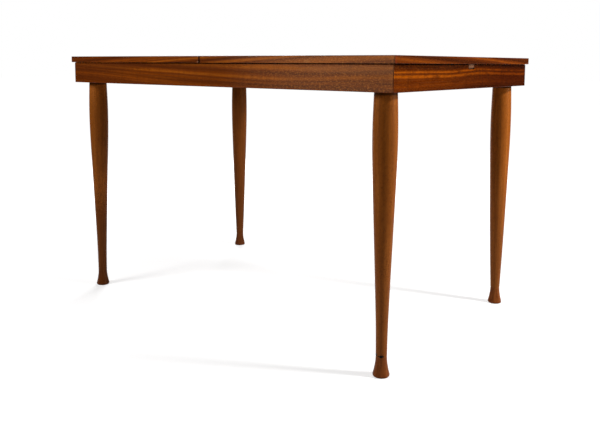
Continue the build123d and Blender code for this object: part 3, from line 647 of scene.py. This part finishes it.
for corner in CORNERS:
    pair = corner.split("_")[0]
    leg_radii = smooth_curve(leg_places, LEG_RADII[pair], leg_heights) - groove
    turned_piece(f"turned_leg_{corner}", leg_radii, leg_heights, axis_of(f"leg_{corner}"), leg_wood,
                 f"leg_{corner}")
print("legs from", leg_bottom, "to", leg_top)

# %% [markdown]
# The foot's side is one cubic curve that leaves the joint straight down and arrives at the flare on a slant.
# From there an arc that meets it smoothly rolls under to the flat sole.

# %% Feet
foot_bottom, foot_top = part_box("foot_front_right")[0][2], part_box("foot_front_right")[1][2]
FLARE = np.array([20.0, 5.5]) * MM
FLARE_WAY = np.array([1.0, -4.0]) / math.hypot(1.0, 4.0)
DOWN = np.array([0.0, -1.0])
SOLE = np.array([18.0, 0.0]) * MM
SIDE_POINTS, ROLL_POINTS = 60, 20
joint = np.array([LEG_RADII["front"][0], foot_top - foot_bottom])
t = np.linspace(0.0, 1.0, SIDE_POINTS)[:, None]
span = np.linalg.norm(FLARE - joint)
side = ((2 * t ** 3 - 3 * t ** 2 + 1) * joint + (t ** 3 - 2 * t ** 2 + t) * span * DOWN
        + (3 * t ** 2 - 2 * t ** 3) * FLARE + (t ** 3 - t ** 2) * span * FLARE_WAY)
inward = np.array([FLARE_WAY[1], -FLARE_WAY[0]])
roll_radius = -np.sum((FLARE - SOLE) ** 2) / (2 * inward @ (FLARE - SOLE))
roll_centre = FLARE + roll_radius * inward
first, last = [math.atan2(*(end - roll_centre)[::-1]) for end in (FLARE, SOLE)]
bend = np.linspace(first, last, ROLL_POINTS)[1:]
roll = roll_centre + roll_radius * np.stack([np.cos(bend), np.sin(bend)], axis=1)
outline = np.concatenate([side, roll])[::-1]
foot_radii = outline[:, 0] - JOINT_GROOVE * np.exp(-(joint[1] - outline[:, 1]) / JOINT_GROOVE)
for corner in CORNERS:
    turned_piece(f"turned_foot_{corner}", foot_radii, foot_bottom + outline[:, 1], axis_of(f"foot_{corner}"),
                 foot_wood, f"foot_{corner}")
print("feet", round(float(foot_radii.max()) / MM, 2), "mm at the widest")

# %% [markdown]
# ## Floor and backdrop
#
# The table stands in a white studio. A ray from the camera always meets white, but the varnish mirrors only
# a white sweep behind the table. The rest of the room is dim for it, so that the wood keeps its colour. The
# floor adds light of its own, more with distance, so that it reaches white but keeps the soft shadow.

# %% Floor and backdrop
STAND = (1.37, -1.68, 0.0)
SWEEP_WAY = (-0.624, 0.782, 0.0)
SWEEP_SIDES = (0.80, 0.90)
FLOOR_REACH = 30.0
GLOW_SPAN = (0.8, 2.6)
NEAR_GLOW, FULL_GLOW = 0.56, 1.0
WHITE, GREY = (1.0, 1.0, 1.0, 1.0), (0.5, 0.5, 0.5, 1.0)
AMBIENT = 0.06


def in_sweep(tree, direction):
    """1 for directions within the white sweep, falling to 0 at its sides."""
    unit = put(tree, "VectorMath", {0: direction}, operation="NORMALIZE").outputs["Vector"]
    facing = put(tree, "VectorMath", {0: unit, 1: SWEEP_WAY}, operation="DOT_PRODUCT").outputs["Value"]
    return levels(tree, facing, *SWEEP_SIDES)


def shows_white(tree, direction):
    """1 for rays from the camera, and within the sweep for rays that are mirrored or pass through glass."""
    path = put(tree, "LightPath").outputs
    mirrored = work_out(tree, "MAXIMUM", path["Is Glossy Ray"], path["Is Transmission Ray"])
    within = work_out(tree, "MULTIPLY", mirrored, in_sweep(tree, direction))
    return work_out(tree, "MAXIMUM", path["Is Camera Ray"], within)


def studio_floor():
    """A wide square on the floor, pale and matt, that glows a little, and fully at a distance."""
    corners = np.array([[-1, -1, 0], [1, -1, 0], [1, 1, 0], [-1, 1, 0]]) * FLOOR_REACH
    mesh = bpy.data.meshes.new("studio_floor")
    mesh.from_pydata(corners.tolist(), [], [(0, 1, 2, 3)])
    mesh.update()
    floor = bpy.data.objects.new("studio_floor", mesh)
    bpy.context.collection.objects.link(floor)
    material, tree, shader, where = new_finish("studio_white")
    from_stand = put(tree, "VectorMath", {0: where, 1: STAND}, operation="SUBTRACT").outputs["Vector"]
    distance = put(tree, "VectorMath", {0: where}, operation="LENGTH").outputs["Value"]
    glow = levels(tree, distance, *GLOW_SPAN, NEAR_GLOW, FULL_GLOW)
    join(tree, shader, Base_Color=GREY, Roughness=1.0, Specular_IOR_Level=0.0, Emission_Color=WHITE,
         Emission_Strength=work_out(tree, "MULTIPLY", glow, shows_white(tree, from_stand)))
    mesh.materials.append(material)


def studio_world():
    """White where it is seen, or mirrored within the sweep, and a dim even light otherwise."""
    world = bpy.data.worlds.new("studio")
    world.use_nodes = True
    tree = world.node_tree
    background = tree.nodes["Background"]
    direction = put(tree, "TexCoord").outputs["Generated"]
    strength = levels(tree, shows_white(tree, direction), 0.0, 1.0, AMBIENT, 1.0, "LINEAR")
    join(tree, background, Color=WHITE, Strength=strength)
    bpy.context.scene.world = world


studio_floor()
studio_world()
print("floor", 2 * FLOOR_REACH, "m wide, ambient light", AMBIENT)

# %% [markdown]
# ## Lamps
#
# A soft lamp stands in front on the left and another high behind on the right, which gives each round leg two
# bright flanks and a darker middle. A weaker one below the right lamp reaches the legs under the apron's
# shadow, and a wide one at the back lights the sides that are turned away.


# %% Lamps
def soft_lamp(name, place, aim, size, power):
    """A rectangular area lamp turned to face a point."""
    data = bpy.data.lights.new(name, "AREA")
    data.shape = "RECTANGLE"
    data.size, data.size_y = size
    data.energy = power
    lamp = bpy.data.objects.new(name, data)
    toward = np.asarray(aim, float) - np.asarray(place, float)
    drop = math.atan2(-toward[2], math.hypot(toward[0], toward[1]))
    lamp.rotation_euler = (math.pi / 2 - drop, 0.0, math.atan2(-toward[0], toward[1]))
    lamp.location = place
    bpy.context.collection.objects.link(lamp)


LAMPS = {  # place, aim, size and watts
    "left_lamp": ((-1.0, -1.9, 1.6), (0.5, -0.3, 0.5), (0.7, 0.7), 34.0),
    "right_lamp": ((2.85, 0.95, 2.25), (0.3, 0.0, 0.40), (0.4, 0.4), 106.0),
    "low_lamp": ((2.85, 0.95, 1.20), (0.3, 0.0, 0.40), (0.4, 0.4), 30.0),
    "back_lamp": ((-2.2, 2.0, 1.5), (0.0, 0.0, 0.4), (1.4, 1.0), 90.0),
}
for lamp_name, settings in LAMPS.items():
    soft_lamp(lamp_name, *settings)
bpy.context.scene.view_settings.view_transform = "Standard"
print("lamps", list(LAMPS))

# %% [markdown]
# ## Camera
#
# The camera stands at the table's own height, a little beyond the near corner. The picture's middle lies
# below the lens axis, and a vertical shift of the lens gives that framing. The camera's place and angles were
# fitted to the lines of the table.

# %% Camera
PICTURE_WIDTH, PICTURE_HEIGHT = 600.0, 433.0
FOCAL_PIXELS = 693.8
AXIS_ROW = 137.0
SENSOR_WIDTH = 36.0
CAMERA_PLACE = (1.3728, -1.6809, 0.7326)
HEADING, DIP, TILT = math.radians(38.598), math.radians(6.034), math.radians(0.278)
camera_data = bpy.data.cameras.new("camera")
camera_data.sensor_width = SENSOR_WIDTH
camera_data.lens = FOCAL_PIXELS / PICTURE_WIDTH * SENSOR_WIDTH
camera_data.shift_y = (AXIS_ROW - PICTURE_HEIGHT / 2) / PICTURE_WIDTH
camera = bpy.data.objects.new("camera", camera_data)
aim = Euler((math.pi / 2 - DIP, 0.0, HEADING)).to_matrix() @ Matrix.Rotation(TILT, 3, "Z")
camera.rotation_euler = aim.to_euler()
camera.location = CAMERA_PLACE
bpy.context.collection.objects.link(camera)
bpy.context.scene.camera = camera
print("lens", round(camera_data.lens, 2), "mm, shift", round(camera_data.shift_y, 4))
